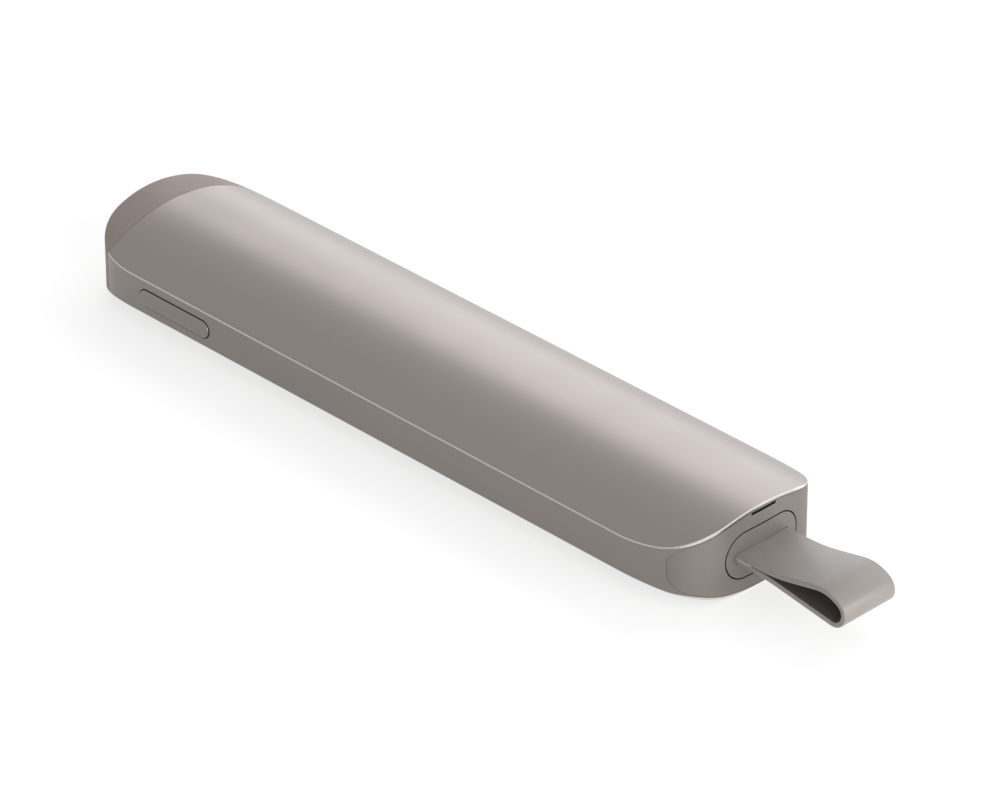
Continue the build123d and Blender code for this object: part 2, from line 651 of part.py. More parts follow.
def make_radio_shield():
    x = (SHIELD_X - SHIELD_SIZE / 2, SHIELD_X + SHIELD_SIZE / 2)
    can = rounded_plate(x, SHIELD_SIZE, (BOARD_TOP_Z, BOARD_TOP_Z + SHIELD_HEIGHT), 2 * SHIELD_WALL)
    inside_x = (x[0] + SHIELD_WALL, x[1] - SHIELD_WALL)
    inside_z = (BOARD_TOP_Z, BOARD_TOP_Z + SHIELD_HEIGHT - SHIELD_WALL)
    return can - centred_block(inside_x, SHIELD_SIZE - 2 * SHIELD_WALL, inside_z)


def make_radio_chip():
    x = (SHIELD_X - CHIP_SIZE / 2, SHIELD_X + CHIP_SIZE / 2)
    chip = centred_block(x, CHIP_SIZE, (BOARD_TOP_Z, BOARD_TOP_Z + CHIP_HEIGHT))
    return chamfer(chip.edges().group_by(Axis.Z)[-1], CHIP_HEIGHT / 8)


def make_chip_antenna():
    x = (BOARD_NOSE_X + ANTENNA_INSET, BOARD_NOSE_X + ANTENNA_INSET + ANTENNA_WIDTH)
    middle = BOARD_WIDTH / 4
    y = (middle - ANTENNA_LENGTH / 2, middle + ANTENNA_LENGTH / 2)
    antenna = block(x, y, (BOARD_TOP_Z, BOARD_TOP_Z + ANTENNA_HEIGHT))
    return chamfer(antenna.edges().group_by(Axis.Z)[-1], ANTENNA_HEIGHT / 8)


def make_vibration_motor():
    z = (BOARD_TOP_Z, BOARD_TOP_Z + MOTOR_HEIGHT)
    motor = rod_along_z(MOTOR_X, 0, z, MOTOR_DIAMETER)
    return chamfer(motor.edges().group_by(Axis.Z)[-1], MOTOR_HEIGHT / 8)


def make_board_screws():
    length = BOARD_THICKNESS + SHELF_LIFT
    screws = []
    for screw_x in BOARD_SCREW_X:
        for side in (-1, 1):
            place = Pos(screw_x, side * BOARD_SCREW_Y, BOARD_BOTTOM_Z) * Rot(180, 0, 0)
            screws.append(place * screw(length))
    return Compound(children=screws)


def shelf_span():
    return (BATTERY_NOSE_X - SHELF_MARGIN, BATTERY_TAIL_X + SHELF_MARGIN)


def frame_rail(x, side):
    """One side rail, shaped by the sleeve's inside."""
    y = sorted((side * FRAME_INNER_Y, side * HALF_WIDTH))
    return cavity(x, SLIP_FIT) & block(x, y, (FRAME_BOTTOM_Z, FRAME_TOP_Z))


def make_inner_frame():
    x = (FRAME_NOSE_X, DOCK_NOSE_X)
    frame = frame_rail(x, -1) + frame_rail(x, 1)
    frame += centred_block(shelf_span(), 2 * FRAME_INNER_Y, (SHELF_Z, SHELF_TOP_Z))
    bulkhead_x = (FRAME_NOSE_X, FRAME_NOSE_X + FRAME_BULKHEAD)
    frame += centred_block(bulkhead_x, 2 * FRAME_INNER_Y, (SHELF_TOP_Z, FRAME_TOP_Z))
    for side in (-1, 1):
        for screw_x in BOARD_SCREW_X:
            y = side * BOARD_SCREW_Y
            frame += rod_along_z(screw_x, y, (BOARD_TOP_Z, SHELF_Z), BOARD_BOSS_DIAMETER)
            frame -= rod_along_z(screw_x, y, (BOARD_TOP_Z, SHELF_Z), SCREW_HOLE_DIAMETER)
        boss_y = sorted((side * DOCK_BOSS_INNER_Y, side * FRAME_INNER_Y))
        boss_x = (DOCK_NOSE_X - DOCK_BOSS_LENGTH, DOCK_NOSE_X)
        frame += block(boss_x, boss_y, (BOARD_TOP_Z, FRAME_TOP_Z))
        hole_x = (DOCK_NOSE_X - SCREW_THREAD_LENGTH, DOCK_NOSE_X)
        frame -= rod_along_x(hole_x, side * DOCK_SCREW_Y, DOCK_SCREW_Z, SCREW_HOLE_DIAMETER)
    margin = FLANGE_MARGIN + SLIP_FIT + BUTTON_TRAVEL
    half_slot = SIDE_BUTTON_LENGTH / 2 + margin
    slot_x = (SIDE_BUTTON_X - half_slot, SIDE_BUTTON_X + half_slot)
    slot_top = SIDE_BUTTON_Z + SIDE_BUTTON_HEIGHT / 2 + margin
    return frame - block(slot_x, (-BODY_WIDTH, -FRAME_INNER_Y + SLIP_FIT), (0, slot_top))


# ---- battery ----

def make_battery():
    x = (BATTERY_NOSE_X, BATTERY_TAIL_X)
    z = (BATTERY_Z, BATTERY_Z + BATTERY_THICKNESS)
    cell = centred_block(x, BATTERY_WIDTH, z)
    return fillet(cell.edges().filter_by(Axis.X), BATTERY_CORNER_RADIUS)


def make_battery_pad():
    x = (BATTERY_NOSE_X + SHELF_MARGIN, BATTERY_TAIL_X - SHELF_MARGIN)
    width = BATTERY_WIDTH - 2 * BATTERY_CORNER_RADIUS
    return rounded_plate(x, width, (SHELF_TOP_Z, BATTERY_Z), BATTERY_CORNER_RADIUS)


def make_battery_tabs():
    high = BATTERY_Z + BATTERY_THICKNESS / 2
    low = BOARD_TOP_Z + TAB_THICKNESS / 2
    bend_x = BATTERY_NOSE_X - TAB_REACH
    route = Polyline((BATTERY_NOSE_X, high), (bend_x, high), (bend_x, low), (bend_x - TAB_FOOT, low))
    outline = trace(route, TAB_THICKNESS)
    tabs = []
    for side in (-1, 1):
        middle = side * TAB_SPACING / 2
        plane = Plane.XZ.offset(-middle - TAB_WIDTH / 2)
        beyond_cell = block((-FAR, BATTERY_NOSE_X), (-FAR, FAR), (0, FAR))
        tabs.append(extrude(plane * outline, TAB_WIDTH) & beyond_cell)
    return Compound(children=tabs)


# ---- receiver bay ----

def make_receiver_dock():
    x = (DOCK_NOSE_X, MOUTH_X)
    dock = stadium_along_x(x, DOCK_WIDTH, DOCK_HEIGHT)
    flange_x = (DOCK_NOSE_X, DOCK_FLOOR_X)
    flange_z = (DOCK_FLANGE_BOTTOM_Z, DOCK_FLANGE_TOP_Z)
    flange_width = 2 * (SIDE_INNER_Y - DOCK_FLANGE_SIDE_GAP)
    dock += centred_block(flange_x, flange_width, flange_z) & cavity(flange_x, SLIP_FIT)
    dock -= stadium_along_x((DOCK_FLOOR_X, FAR), BAY_WIDTH, BAY_HEIGHT)
    opening = SlotOverall(SOCKET_WIDTH + 2 * SLIP_FIT, SOCKET_HEIGHT + 2 * SLIP_FIT)
    plane = Plane.YZ.offset(DOCK_NOSE_X) * Pos(0, RECEIVER_AXIS_Z)
    dock -= extrude(plane * opening, DOCK_END_WALL)
    for side in (-1, 1):
        dock -= rod_along_x(flange_x, side * DOCK_SCREW_Y, DOCK_SCREW_Z, BOARD_HOLE_DIAMETER)
    window_x = catch_span(CATCH_WINDOW_MARGIN)
    half_height = CATCH_HEIGHT / 2 + CATCH_WINDOW_MARGIN
    window_z = (RECEIVER_AXIS_Z - half_height, RECEIVER_AXIS_Z + half_height)
    return dock - centred_block(window_x, BODY_WIDTH, window_z)


def catch_span(growth):
    middle = TAIL_X - CATCH_SETBACK
    return (middle - CATCH_LENGTH / 2 - growth, middle + CATCH_LENGTH / 2 + growth)


def make_receiver_catches():
    """Two bowed leaf springs that bear on the receiver's sides through the dock's windows."""
    x = catch_span(0)
    near = RECEIVER_WIDTH / 2 + CATCH_CLEARANCE + CATCH_THICKNESS / 2
    far = DOCK_WIDTH / 2 - CATCH_THICKNESS / 2
    bow = ThreePointArc((x[0], far), ((x[0] + x[1]) / 2, near), (x[1], far))
    leaf_plan = trace(bow, CATCH_THICKNESS)
    plane = Plane.XY.offset(RECEIVER_AXIS_Z - CATCH_HEIGHT / 2)
    leaf = extrude(plane * leaf_plan, CATCH_HEIGHT)
    return Compound(children=[leaf, mirror(leaf, Plane.XZ)])


def make_dock_screws():
    screws = []
    for side in (-1, 1):
        place = Pos(DOCK_FLOOR_X, side * DOCK_SCREW_Y, DOCK_SCREW_Z) * Rot(0, 90, 0)
        screws.append(place * screw(DOCK_END_WALL + SCREW_THREAD_LENGTH))
    return Compound(children=screws)


def make_charging_socket():
    back = DOCK_FLOOR_X - SOCKET_LENGTH
    outer = extrude(
        Plane.YZ.offset(back) * Pos(0, RECEIVER_AXIS_Z) * SlotOverall(SOCKET_WIDTH, SOCKET_HEIGHT),
        SOCKET_LENGTH,
    )
    inner_width = SOCKET_WIDTH - 2 * SOCKET_WALL
    inner_height = SOCKET_HEIGHT - 2 * SOCKET_WALL
    mouth = Plane.YZ.offset(back + SOCKET_FLOOR) * Pos(0, RECEIVER_AXIS_Z)
    return outer - extrude(mouth * SlotOverall(inner_width, inner_height), SOCKET_LENGTH)


def make_socket_tongue():
    x = (DOCK_FLOOR_X - SOCKET_LENGTH + SOCKET_FLOOR, DOCK_FLOOR_X - SOCKET_TONGUE_SETBACK)
    half = SOCKET_TONGUE_HEIGHT / 2
    z = (RECEIVER_AXIS_Z - half, RECEIVER_AXIS_Z + half)
    tongue = centred_block(x, SOCKET_TONGUE_WIDTH, z)
    return chamfer(tongue.edges().group_by(Axis.X)[-1], SOCKET_TONGUE_HEIGHT / 4)


# ---- status light ----

def flex_end_x():
    return MOUTH_X + LIGHT_POCKET_DEPTH - LIGHT_GUIDE_FOOT - SLIP_FIT


def make_tail_flex():
    """A flat flex that climbs from the board and lies along the top of the dock."""
    low = BOARD_TOP_Z + FLEX_THICKNESS / 2
    high = FLEX_Z + FLEX_THICKNESS / 2
    points = [(FLEX_FOOT_X, low), (FLEX_RISE_X, low), (FLEX_RISE_X, high), (flex_end_x(), high)]
    route = FilletPolyline(*points, radius=FLEX_BEND_RADIUS)
    plane = Plane.XZ.offset(-FLEX_WIDTH / 2)
    return extrude(plane * trace(route, FLEX_THICKNESS), FLEX_WIDTH)


def make_status_led():
    length, width, height = LED_SIZE
    x = (flex_end_x() - length, flex_end_x())
    z = (FLEX_Z + FLEX_THICKNESS, FLEX_Z + FLEX_THICKNESS + height)
    led = centred_block(x, width, z)
    return chamfer(led.edges().group_by(Axis.Z)[-1], height / 5)


# ---- receiver ----

def strap_slot_z(gap):
    half = STRAP_STACK / 2 + gap
    return (STRAP_AXIS_Z - half, STRAP_AXIS_Z + half)


def strap_slot(x):
    width = STRAP_WIDTH + 2 * STRAP_SLOT_GAP
    return centred_block(x, width, strap_slot_z(STRAP_SLOT_GAP))


def make_receiver_cap():
    cap = stadium_along_x((CORE_TAIL_X, FAR), RECEIVER_WIDTH, RECEIVER_HEIGHT) & BLANK
    return cap - strap_slot((CORE_TAIL_X, FAR))


def pin_hole(diameter, length):
    half = length / 2
    z = (STRAP_AXIS_Z - half, STRAP_AXIS_Z + half)
    return rod_along_z(CORE_TAIL_X - STRAP_PIN_SETBACK, 0, z, diameter)


def plug_bar(x, wall):
    width = PLUG_WIDTH - 2 * wall
    height = PLUG_HEIGHT - 2 * wall
    outline = RectangleRounded(width, height, PLUG_CORNER_RADIUS)
    return extrude(Plane.YZ.offset(x[0]) * Pos(0, RECEIVER_AXIS_Z) * outline, x[1] - x[0])


def make_receiver_core():
    core = stadium_along_x((CORE_NOSE_X, CORE_TAIL_X), RECEIVER_WIDTH, RECEIVER_HEIGHT)
    core -= plug_bar((CORE_NOSE_X, CORE_NOSE_X + PLUG_EMBEDDED), 0)
    core -= strap_slot((STRAP_NOSE_X - SLIP_FIT, CORE_TAIL_X))
    return core - pin_hole(STRAP_PIN_DIAMETER + 2 * THREAD_FIT, STRAP_PIN_LENGTH + 2 * THREAD_FIT)


def make_usb_plug_shell():
    x = (RECEIVER_TIP_X, CORE_NOSE_X + PLUG_EMBEDDED)
    shell = plug_bar(x, 0) - plug_bar(x, PLUG_WALL)
    window = PLUG_WIDTH / 5
    for side in (-1, 1):
        middle = side * PLUG_WIDTH / 4
        window_x = (RECEIVER_TIP_X + window, RECEIVER_TIP_X + 2 * window)
        y = (middle - window / 2, middle + window / 2)
        shell -= block(window_x, y, (RECEIVER_AXIS_Z - PLUG_HEIGHT, RECEIVER_AXIS_Z + PLUG_HEIGHT))
    return shell


def tongue_span():
    return (RECEIVER_TIP_X + TONGUE_SETBACK, CORE_NOSE_X + PLUG_EMBEDDED)


def tongue_bottom():
    return RECEIVER_AXIS_Z - PLUG_HEIGHT / 2 + PLUG_WALL + THREAD_FIT


def make_usb_plug_tongue():
    z = (tongue_bottom(), tongue_bottom() + TONGUE_HEIGHT)
    width = PLUG_WIDTH - 2 * PLUG_WALL - 2 * THREAD_FIT
    tongue = centred_block(tongue_span(), width, z)
    tongue = fillet(tongue.edges().filter_by(Axis.X).group_by(Axis.Z)[0], PLUG_CORNER_RADIUS)
    return tongue


def make_usb_contacts():
    length, width, height = CONTACT_SIZE
    start = RECEIVER_TIP_X + 2 * TONGUE_SETBACK
    base = tongue_bottom() + TONGUE_HEIGHT
    contacts = []
    for index in range(4):
        middle = (index - 1.5) * CONTACT_PITCH
        y = (middle - width / 2, middle + width / 2)
        contacts.append(block((start, start + length), y, (base, base + height)))
    return Compound(children=contacts)


def make_receiver_board():
    contact_end = RECEIVER_TIP_X + 2 * TONGUE_SETBACK + CONTACT_SIZE[0]
    x = (contact_end + SLIP_FIT, CORE_NOSE_X + PLUG_EMBEDDED)
    base = tongue_bottom() + TONGUE_HEIGHT
    return centred_block(x, RECEIVER_BOARD_WIDTH, (base, base + RECEIVER_BOARD_THICKNESS))


def strap_route():
    """The middle of the band, from the upper end in the receiver, round the loop and back."""
    offset = (STRAP_THICKNESS + STRAP_PLY_GAP) / 2
    high = STRAP_AXIS_Z + offset
    low = STRAP_AXIS_Z - offset
    rise_x = TAIL_X + STRAP_STRAIGHT
    out = Line((STRAP_NOSE_X, high), (rise_x, high))
    rise = JernArc(out @ 1, out % 1, STRAP_RISE_RADIUS, STRAP_RISE_ANGLE)
    run = Line(rise @ 1, (rise @ 1) + (rise % 1) * STRAP_RISE_RUN)
    crown = JernArc(run @ 1, run % 1, STRAP_CROWN_RADIUS, -STRAP_RISE_ANGLE - STRAP_CROWN_ANGLE)
    tip_angle = 180 + STRAP_RETURN_ANGLE - STRAP_CROWN_ANGLE
    tip = JernArc(crown @ 1, crown % 1, STRAP_TIP_RADIUS, -tip_angle)
    drop = low - (tip @ 1).Y - STRAP_RETURN_RADIUS * (1 - cos(radians(STRAP_RETURN_ANGLE)))
    back_length = drop / sin(radians(STRAP_RETURN_ANGLE))
    back = Line(tip @ 1, (tip @ 1) + (tip % 1) * back_length)
    level = JernArc(back @ 1, back % 1, STRAP_RETURN_RADIUS, STRAP_RETURN_ANGLE)
    home = Line(level @ 1, (STRAP_NOSE_X, low))
    return Wire([out, rise, run, crown, tip, back, level, home])


def make_wrist_strap():
    outline = trace(strap_route(), STRAP_THICKNESS)
    strap = extrude(Plane.XZ.offset(-STRAP_WIDTH / 2) * outline, STRAP_WIDTH)
    strap += centred_block((STRAP_NOSE_X, TAIL_X + STRAP_BOND_REACH), STRAP_WIDTH, strap_slot_z(0))
    return strap - pin_hole(STRAP_PIN_DIAMETER + 2 * THREAD_FIT, STRAP_PIN_LENGTH)


def make_strap_pin():
    pin = pin_hole(STRAP_PIN_DIAMETER, STRAP_PIN_LENGTH)
    return chamfer(pin.edges().filter_by(GeomType.CIRCLE), STRAP_PIN_DIAMETER / 8)


PARTS = {
    "outer_shell": make_outer_shell,
    "nose_cap": make_nose_cap,
    "laser_window": make_laser_window,
    "laser_module": make_laser_module,
    "tail_cap": make_tail_cap,
    "status_light_guide": make_status_light_guide,
    "status_led": make_status_led,
    "tail_flex": make_tail_flex,
    "pointer_button": lambda: make_face_button(POINTER_BUTTON),
    "next_button": lambda: make_face_button(NEXT_BUTTON),
    "back_button": lambda: make_face_button(BACK_BUTTON),
    "side_button": make_side_button,
    "main_board": make_main_board,
    "board_screws": make_board_screws,
    "pointer_switch": lambda: make_face_switch(POINTER_BUTTON),
    "next_switch": lambda: make_face_switch(NEXT_BUTTON),
    "back_switch": lambda: make_face_switch(BACK_BUTTON),
    "side_switch": make_side_switch,
    "radio_shield": make_radio_shield,
    "radio_chip": make_radio_chip,
    "chip_antenna": make_chip_antenna,
    "vibration_motor": make_vibration_motor,
    "inner_frame": make_inner_frame,
    "battery": make_battery,
    "battery_pad": make_battery_pad,
    "battery_tabs": make_battery_tabs,
    "receiver_dock": make_receiver_dock,
    "receiver_catches": make_receiver_catches,
    "dock_screws": make_dock_screws,
    "charging_socket": make_charging_socket,
    "socket_tongue": make_socket_tongue,
    "receiver_cap": make_receiver_cap,
    "receiver_core": make_receiver_core,
    "usb_plug_shell": make_usb_plug_shell,
    "usb_plug_tongue": make_usb_plug_tongue,
    "usb_contacts": make_usb_contacts,
    "receiver_board": make_receiver_board,
    "wrist_strap": make_wrist_strap,
    "strap_pin": make_strap_pin,
}

os.makedirs("parts", exist_ok=True)
for name, make in PARTS.items():
    export_step(make(), f"parts/{name}.step")
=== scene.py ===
"""Presentation clicker: its finishes, its wrist strap and a plain studio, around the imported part.

Metres. +X runs to the tail and the strap, -Y is the side with the side button, and +Z is up through the
domed back. Every piece sits where the frame holds it.
"""

from math import cos, pi, radians, sin, sqrt

import bmesh
import bpy
from bpy.props import FloatProperty, FloatVectorProperty, IntProperty, PointerProperty
from bpy.types import Operator, Panel, PropertyGroup
from mathutils import Euler, Matrix, Vector


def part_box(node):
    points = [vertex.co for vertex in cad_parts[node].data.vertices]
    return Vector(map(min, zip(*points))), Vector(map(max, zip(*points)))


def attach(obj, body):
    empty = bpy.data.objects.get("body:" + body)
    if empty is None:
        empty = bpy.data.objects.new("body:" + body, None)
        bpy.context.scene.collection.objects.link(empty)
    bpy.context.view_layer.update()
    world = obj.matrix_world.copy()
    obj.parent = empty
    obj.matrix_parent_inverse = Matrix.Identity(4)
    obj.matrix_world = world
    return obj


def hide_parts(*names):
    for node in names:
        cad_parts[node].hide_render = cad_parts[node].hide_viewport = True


bl_info = {
    "name": "Presentation clicker",
    "version": (1, 0, 0),
    "blender": (4, 5, 0),
    "location": "View3D > Sidebar > Clicker",
    "description": "Finishes, wrist strap and studio for a presentation clicker",
    "category": "Object",
}

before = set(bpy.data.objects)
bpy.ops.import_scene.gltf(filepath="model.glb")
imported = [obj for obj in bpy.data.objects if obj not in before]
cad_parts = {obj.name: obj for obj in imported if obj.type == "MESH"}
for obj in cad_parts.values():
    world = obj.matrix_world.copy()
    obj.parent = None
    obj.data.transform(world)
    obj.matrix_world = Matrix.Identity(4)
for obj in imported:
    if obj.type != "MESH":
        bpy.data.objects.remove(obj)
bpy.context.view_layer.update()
MM = 0.001

STRAP_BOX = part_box("wrist_strap")
RECEIVER_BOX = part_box("receiver_cap")

# Nodes of each finish
PLATED_NODES = ("board_screws", "dock_screws", "charging_socket", "usb_plug_shell", "vibration_motor",
                "radio_shield", "battery_tabs", "receiver_catches", "strap_pin")
SWITCH_NODES = ("pointer_switch", "next_switch", "back_switch", "side_switch")
TAIL_NODES = ("tail_cap", "receiver_cap")
FACE_BUTTON_NODES = ("pointer_button", "next_button", "back_button")
BLACK_PLASTIC_NODES = ("inner_frame", "receiver_dock", "receiver_core", "socket_tongue", "usb_plug_tongue")
BOARD_NODES = ("main_board", "receiver_board")

# How far a face's normal leans, from 0 for none to 1 for fully
WALL_LEAN = 0.12    # up or down, at most, on a side wall
RIM_LEAN = 0.80     # up or down, at most, on the chamfered rims
FRONT_LEAN = 0.3    # to the tail, at least, on the painted front of the tail caps
MOUTH_HIGHLIGHT_TURN = (0.62, 1.0)    # to the tail, where the mouth's painted highlight starts and where it is full
MOUTH_HIGHLIGHT_SIDE = 0.3    # share of the lean to the side button that widens the mouth's painted highlight

# Shares of metal flake in the paints, and how much smoother a cut is than the blasted metal
NOSE_FLAKE = 0.9
TAIL_FLAKE = 0.6
CUT_POLISH = 0.08

# How far past the receiver's outline the tail cap's walls are left unpainted and black, as painted shade in
# the gaps
BARE_SHADE_REACH = 0.5 * MM

# The vertex layer that marks the strap's inner face, which gets a painted shade
INNER_SHADE_LAYER = "inner_shade"

# The floor, from its middle to its edges, and how it is seen: its own light, and the grey under the shadow
FLOOR_REACH = 6.0
FLOOR_GLOW = 0.68
SHADOW_GREY = 0.45


# ---- sizes and colours that a user would change ----

def colour(name, description, default):
    return FloatVectorProperty(name=name, description=description, default=default, subtype="COLOR", size=3,
                               min=0.0, max=1.0)


def length(name, description, default):
    return FloatProperty(name=name, description=description, default=default, unit="LENGTH", precision=5)


def angle(name, description, default):
    return FloatProperty(name=name, description=description, default=radians(default), subtype="ANGLE")


def share(name, description, default):
    return FloatProperty(name=name, description=description, default=default, subtype="FACTOR",
                         min=0.0, max=1.0)


class ClickerFinish(PropertyGroup):
    sleeve: colour("Sleeve", "Anodised metal of the sleeve and the side button", (0.238, 0.213, 0.201))
    # The side and mouth cuts are real polished chamfer cuts, painted much lighter than the metal as a
    # painted highlight; the mouth's is near white
    side_cut_highlight: colour("Side cut", "Bright cut edge along the sleeve's sides", (0.46, 0.43, 0.405))
    mouth_cut_highlight: colour("Mouth cut", "Polished cut round the sleeve's mouth", (0.72, 0.685, 0.65))
    sleeve_roughness: share("Sleeve roughness", "How satin the sleeve is", 0.36)
    nose: colour("Nose cap", "Painted nose cap", (0.260, 0.225, 0.206))
    cap: colour("Caps", "Moulded tail cap and receiver cap", (0.210, 0.191, 0.175))
    # Black plastic of the inside pieces, also used as painted shade on the tail caps' walls round the
    # receiver
    bare_plastic_and_gap_shade: colour("Bare plastic", "Black plastic under the paint and inside", (0.012, 0.011, 0.010))
    button: colour("Buttons", "Moulded buttons of the lower face", (0.26, 0.235, 0.215))
    strap: colour("Strap", "Outer face of the wrist strap", (0.288, 0.262, 0.244))
    # The strap's inner face, darker as painted shade inside the loop
    strap_inner_shade: colour("Strap lining", "Inner face of the wrist strap", (0.10, 0.083, 0.072))
    grain: length("Grain", "Size of the grain on moulded pieces", 0.25 * MM)


class SleeveForm(PropertyGroup):
    back_rise: length("Back rise", "Rise of the domed back above the side walls", 4.5 * MM)
    face_depth: length("Face depth", "Drop of the lower face below the side walls", 2.6 * MM)
    rest_land: length("Rest land", "Width of the flat land of the lower face", 8.0 * MM)
    # Width of the painted highlight band on the mouth's end, narrower than the cut end itself
    mouth_highlight_width: length("Mouth wall", "Width of the polished cut round the sleeve's mouth", 0.35 * MM)


class StrapShape(PropertyGroup):
    thickness: length("Thickness", "Thickness of the band", 0.76 * MM)
    ply_gap: length("Ply gap", "Gap between the two ends where they lie together", 0.06 * MM)
    bond_reach: length("Bond reach", "Length past the tail over which the two ends are bonded", 2.4 * MM)
    straight: length("Straight", "Length past the tail before the upper band rises", 3.4 * MM)
    rise_radius: length("Rise radius", "Radius of the upper band's first bend", 28.6 * MM)
    rise_angle: angle("Rise angle", "Slope of the upper band", 12.3)
    rise_run: length("Rise run", "Straight stretch of the upper band", 4.5 * MM)
    crown_radius: length("Crown radius", "Radius of the bend before the tip", 5.6 * MM)
    crown_angle: angle("Crown angle", "How far the bend before the tip falls", 33.6)
    tip_radius: length("Tip radius", "Radius of the loop's tip", 1.86 * MM)
    return_angle: angle("Return angle", "Slope of the lower band", 8.4)
    return_radius: length("Return radius", "Radius that levels the lower band", 18.0 * MM)
    edge_radius: length("Edge radius", "Rounding of the band's edges", 0.16 * MM)
    steps: IntProperty(name="Steps", description="Segments in a quarter turn of the band", default=24)


class StudioSettings(PropertyGroup):
    azimuth: angle("Azimuth", "Camera's angle round the clicker", 45.51)
    elevation: angle("Elevation", "Camera's angle above the floor", 31.143)
    distance: length("Distance", "From the aim to the camera", 836.165 * MM)
    lens: FloatProperty(name="Lens", description="Focal length", default=215.5, subtype="DISTANCE_CAMERA")
    pan: length("Pan", "The aim's move to the camera's right", 7.641 * MM)
    tilt: length("Tilt", "The aim's move to the camera's top", -0.262 * MM)
    floor: colour("Floor", "Pale floor", (0.80, 0.80, 0.80))
    world: share("World light", "Light of the surroundings on the clicker", 0.45)


# ---- mesh helpers ----

def new_piece(name, bm, material, body=None):
    """A mesh object at the origin from a bmesh."""
    mesh = bpy.data.meshes.new(name)
    bm.to_mesh(mesh)
    bm.free()
    piece = bpy.data.objects.new(name, mesh)
    bpy.context.scene.collection.objects.link(piece)
    mesh.materials.append(material)
    if body:
        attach(piece, body)
    return piece


def edges_of(geometry):
    return [item for item in geometry if isinstance(item, bmesh.types.BMEdge)]


def verts_of(geometry):
    return [item for item in geometry if isinstance(item, bmesh.types.BMVert)]


# ---- shader helpers ----

class Finish:
    """A material with one Principled shader and the nodes that feed it."""

    def __init__(self, name, base, roughness, metallic=0.0):
        self.material = bpy.data.materials.new(name)
        self.material.use_nodes = True
        self.nodes = self.material.node_tree.nodes
        self.links = self.material.node_tree.links
        self.shader = self.nodes["Principled BSDF"]
        self.base = base
        self.shader.inputs["Base Color"].default_value = (*base, 1.0)
        self.shader.inputs["Roughness"].default_value = roughness
        self.shader.inputs["Metallic"].default_value = metallic
        self.coordinates = self.nodes.new("ShaderNodeTexCoord").outputs["Object"]

    def set(self, **values):
        for socket, value in values.items():
            self.shader.inputs[socket.replace("_", " ")].default_value = value
        return self

    def noise(self, size, detail=2.0, stretch=(1, 1, 1)):
        """A noise whose features are about the given size, stretched along the axes."""
        mapping = self.nodes.new("ShaderNodeMapping")
        mapping.inputs["Scale"].default_value = [1 / (size * s) for s in stretch]
        self.links.new(self.coordinates, mapping.inputs["Vector"])
        noise = self.nodes.new("ShaderNodeTexNoise")
        noise.inputs["Scale"].default_value = 1.0
        noise.inputs["Detail"].default_value = detail
        self.links.new(mapping.outputs["Vector"], noise.inputs["Vector"])
        return noise.outputs["Fac"]

    def spread(self, source, low, high):
        """The source's middle range, spread between two numbers."""
        node = self.nodes.new("ShaderNodeMapRange")
        node.inputs["From Min"].default_value = 0.3
        node.inputs["From Max"].default_value = 0.7
        node.inputs["To Min"].default_value = low
        node.inputs["To Max"].default_value = high
        self.links.new(source, node.inputs["Value"])
        return node.outputs["Result"]

    def math(self, operation, a, b):
        node = self.nodes.new("ShaderNodeMath")
        node.operation = operation
        for socket, value in zip(node.inputs, (a, b)):
            if isinstance(value, (int, float)):
                socket.default_value = value
            else:
                self.links.new(value, socket)
        return node.outputs[0]

    def mix_colour(self, factor, first, second):
        node = self.nodes.new("ShaderNodeMix")
        node.data_type = "RGBA"
        for socket, value in ((node.inputs[0], factor), (node.inputs[6], first), (node.inputs[7], second)):
            if isinstance(value, tuple):
                socket.default_value = (*value, 1.0)
            else:
                self.links.new(value, socket)
        return node.outputs[2]

    def cloud_colour(self, size, amount):
        """The base colour, a little lighter and darker in soft clouds."""
        factor = self.spread(self.noise(size), 0.0, 1.0)
        darker = tuple(channel * (1 - amount) for channel in self.base)
        lighter = tuple(min(1.0, channel * (1 + amount)) for channel in self.base)
        return self.mix_colour(factor, darker, lighter)

    def colour_from(self, source):
        self.links.new(source, self.shader.inputs["Base Color"])
        return self

    def roughness_from(self, source):
        self.links.new(source, self.shader.inputs["Roughness"])
        return self

    def bump(self, source, depth):
        """Raises the surface by the source, to about the given depth."""
        node = self.nodes.new("ShaderNodeBump")
        node.inputs["Distance"].default_value = depth
        self.links.new(source, node.inputs["Height"])
        self.links.new(node.outputs["Normal"], self.shader.inputs["Normal"])
        return self


def moulded(name, base, roughness, grain, depth=0.004 * MM, metallic=0.0):
    """Fine-grained moulded plastic with faint clouds in its colour and gloss."""
    finish = Finish(name, base, roughness, metallic)
    finish.colour_from(finish.cloud_colour(14 * MM, 0.025))
    finish.roughness_from(finish.spread(finish.noise(6 * MM), roughness - 0.04, roughness + 0.04))
    return finish.bump(finish.noise(grain, 3.0), depth)


def round_receiver(finish):
    """1 on the walls beside and above the receiver, where the painted shade goes, and 0 out at the sleeve's
    mouth.
    """
    low, high = RECEIVER_BOX
    place = finish.nodes.new("ShaderNodeSeparateXYZ")
    finish.links.new(finish.coordinates, place.inputs["Vector"])
    reach = finish.math("ABSOLUTE", place.outputs["Y"], 0.0)
    beside = finish.math("LESS_THAN", reach, high.y + BARE_SHADE_REACH)
    above = finish.math("GREATER_THAN", place.outputs["Z"], low.z - BARE_SHADE_REACH)
    return finish.math("MULTIPLY", beside, above)


